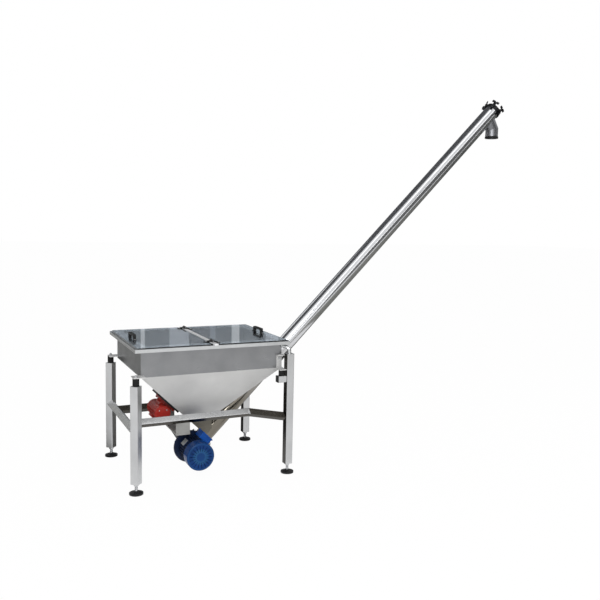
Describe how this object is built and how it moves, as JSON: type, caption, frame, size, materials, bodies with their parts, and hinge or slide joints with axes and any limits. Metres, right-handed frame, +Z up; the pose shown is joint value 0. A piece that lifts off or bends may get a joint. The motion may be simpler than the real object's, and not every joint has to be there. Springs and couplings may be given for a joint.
{
  "type": "inclined screw conveyor with feed hopper",
  "caption": "Inclined tubular screw conveyor with a lidded stainless feed hopper on a levelling stand, a blue geared motor and a vertical discharge spout.",
  "frame": {"origin": "centre of the bounding box's bottom, on the floor the four feet stand on", "axes": "+X along the machine from the feed hopper to the raised discharge end, +Y to the rear, away from the motor's fan cowl, +Z up"},
  "size_m": [3.5322, 0.9998, 3.0932],
  "materials": {
    "leg_stainless": "satin",
    "rail_stainless": "satin",
    "hopper_stainless": "satin",
    "tube_stainless": "polished",
    "zinc_fasteners": "bright",
    "clear_acrylic": "clear",
    "black_plastic": "matte",
    "black_rubber": "matte",
    "blue_paint": "semi-gloss",
    "red_paint": "semi-gloss",
    "dark_paint": "satin",
    "bare_plate": "satin",
    "worm_wheel_bronze": "machined",
    "white_plastic": "matte",
    "machined_steel": "machined"
  },
  "bodies": {
    "frame": {"arm_end_caps": "black_plastic", "base_flange_bolts": "zinc_fasteners", "buffer_arms": "leg_stainless", "cable_gland": "black_plastic", "conveyor_tube": "tube_stainless", "end_bush": "white_plastic", "end_cover": "black_plastic", "end_flange": "tube_stainless", "fan_cowl": "blue_paint", "foot_inserts": "black_plastic", "foot_lock_nuts": "zinc_fasteners", "foot_pads": "black_plastic", "foot_spindles": "zinc_fasteners", "gearbox_cover": "blue_paint", "gearbox_housing": "blue_paint", "hanger_frame": "rail_stainless", "hinge_bases": "black_plastic", "hinge_pins": "zinc_fasteners", "hopper_brackets": "hopper_stainless", "hopper_fixings": "zinc_fasteners", "hopper_funnel": "hopper_stainless", "hopper_lugs": "hopper_stainless", "hopper_rim": "hopper_stainless", "hopper_skirt": "hopper_stainless", "left_end_rail": "rail_stainless", "left_legs": "leg_stainless", "lid_bar": "hopper_stainless", "motor_body": "blue_paint", "outlet_seal_ring": "black_rubber", "outlet_spout": "tube_stainless", "rating_plate": "bare_plate", "right_legs": "leg_stainless", "rubber_buffers": "black_rubber", "shaft_seal": "black_rubber", "side_rails": "rail_stainless", "swing_bolt_pins": "zinc_fasteners", "terminal_box": "blue_paint", "tube_base_flange": "tube_stainless", "tube_saddle": "tube_stainless", "vibrator_base": "dark_paint", "vibrator_body": "red_paint", "vibrator_caps": "dark_paint"},
    "left_lid": {"left_lid": "clear_acrylic", "left_hinge_leaves": "black_plastic", "left_lid_handle": "black_plastic", "left_lid_screws": "zinc_fasteners"},
    "right_lid": {"right_lid": "clear_acrylic", "right_hinge_leaves": "black_plastic", "right_lid_handle": "black_plastic", "right_lid_screws": "zinc_fasteners"},
    "auger": {"screw_core": "machined_steel", "screw_flight": "machined_steel", "worm_wheel": "worm_wheel_bronze"},
    "motor_rotor": {"motor_rotor": "machined_steel", "motor_fan": "blue_paint"},
    "vibrator_rotor": {"vibrator_rotor": "machined_steel"},
    "swing_bolt_1": {"swing_bolt_1": "zinc_fasteners"},
    "swing_bolt_2": {"swing_bolt_2": "zinc_fasteners"},
    "swing_bolt_3": {"swing_bolt_3": "zinc_fasteners"},
    "swing_bolt_4": {"swing_bolt_4": "zinc_fasteners"}
  },
  "joints": [
    {"name": "left_lid_hinge", "type": "hinge", "parent": "frame", "child": "left_lid", "pos_m": [-1.13108, 0, 1.05], "axis": [0, 1, 0], "range_deg": [0, 85]},
    {"name": "right_lid_hinge", "type": "hinge", "parent": "frame", "child": "right_lid", "pos_m": [-1.13108, 0, 1.05], "axis": [0, -1, 0], "range_deg": [0, 85]},
    {"name": "auger_spin", "type": "hinge", "parent": "frame", "child": "auger", "pos_m": [-1.07173, 0, 0.23335], "axis": [0.7071, 0, 0.7071], "continuous": true},
    {"name": "motor_spin", "type": "hinge", "parent": "frame", "child": "motor_rotor", "pos_m": [-1.22411, -0.2, 0.18703], "axis": [0, 1, 0], "continuous": true},
    {"name": "vibrator_spin", "type": "hinge", "parent": "frame", "child": "vibrator_rotor", "pos_m": [-1.43968, 0, 0.46809], "axis": [0, 1, 0], "continuous": true},
    {"name": "swing_bolt_1_hinge", "type": "hinge", "parent": "frame", "child": "swing_bolt_1", "pos_m": [1.63662, 0.06081, 3.0277], "axis": [-0.5, -0.7071, 0.5], "range_deg": [0, 80]},
    {"name": "swing_bolt_2_hinge", "type": "hinge", "parent": "frame", "child": "swing_bolt_2", "pos_m": [1.69536, 0.08307, 2.96896], "axis": [-0.683, 0.2588, 0.683], "range_deg": [0, 80]},
    {"name": "swing_bolt_3_hinge", "type": "hinge", "parent": "frame", "child": "swing_bolt_3", "pos_m": [1.69536, -0.08307, 2.96896], "axis": [0.683, 0.2588, -0.683], "range_deg": [0, 80]},
    {"name": "swing_bolt_4_hinge", "type": "hinge", "parent": "frame", "child": "swing_bolt_4", "pos_m": [1.63662, -0.06081, 3.0277], "axis": [0.5, -0.7071, -0.5], "range_deg": [0, 80]}
  ],
  "couplings": [
    {"joint": "motor_spin", "follows": "auger_spin", "ratio": 15}
  ]
}
